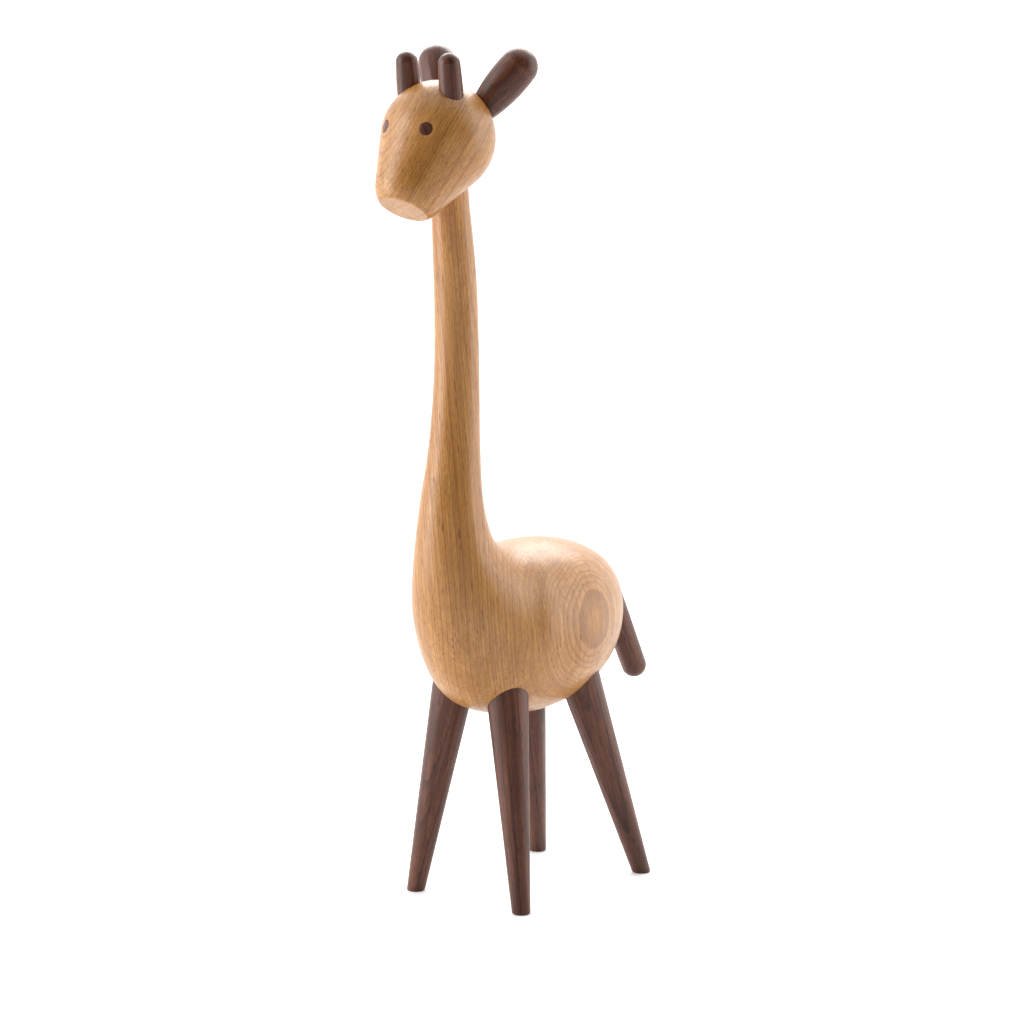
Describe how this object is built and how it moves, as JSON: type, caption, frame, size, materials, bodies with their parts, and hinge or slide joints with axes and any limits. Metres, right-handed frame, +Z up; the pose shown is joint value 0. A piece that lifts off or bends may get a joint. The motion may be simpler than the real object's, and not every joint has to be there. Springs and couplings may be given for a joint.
{
  "type": "wooden giraffe figure",
  "caption": "Standing giraffe figure in pale oak with a long neck, a turned head that swivels, and walnut legs, tail, ears, horns and flush round eyes.",
  "frame": {"origin": "on the ground, under the middle of the whole figure's box", "axes": "+Z up, along the figure's height; the giraffe faces -Y, and its left side is +X"},
  "size_m": [0.0724, 0.1878, 0.3962],
  "materials": {
    "body_oak": "satin oiled oak, grain upright",
    "head_oak": "satin oiled oak, grain along the face",
    "ear_walnut": "satin oiled walnut",
    "horn_walnut": "satin oiled walnut",
    "eye_walnut": "satin oiled walnut, darkened",
    "leg_walnut": "satin oiled walnut",
    "tail_walnut": "satin oiled walnut"
  },
  "bodies": {
    "figure": {"body": "body_oak", "front_left_leg": "leg_walnut", "front_right_leg": "leg_walnut", "rear_left_leg": "leg_walnut", "rear_right_leg": "leg_walnut", "tail": "tail_walnut"},
    "head_group": {"head": "head_oak", "left_ear": "ear_walnut", "right_ear": "ear_walnut", "left_horn": "horn_walnut", "right_horn": "horn_walnut", "left_eye": "eye_walnut", "right_eye": "eye_walnut"}
  },
  "joints": [
    {"name": "head_turn", "type": "hinge", "parent": "figure", "child": "head_group", "pos_m": [0, -0.05075, 0.323], "axis": [0, -0.1097, 0.994], "continuous": true}
  ]
}
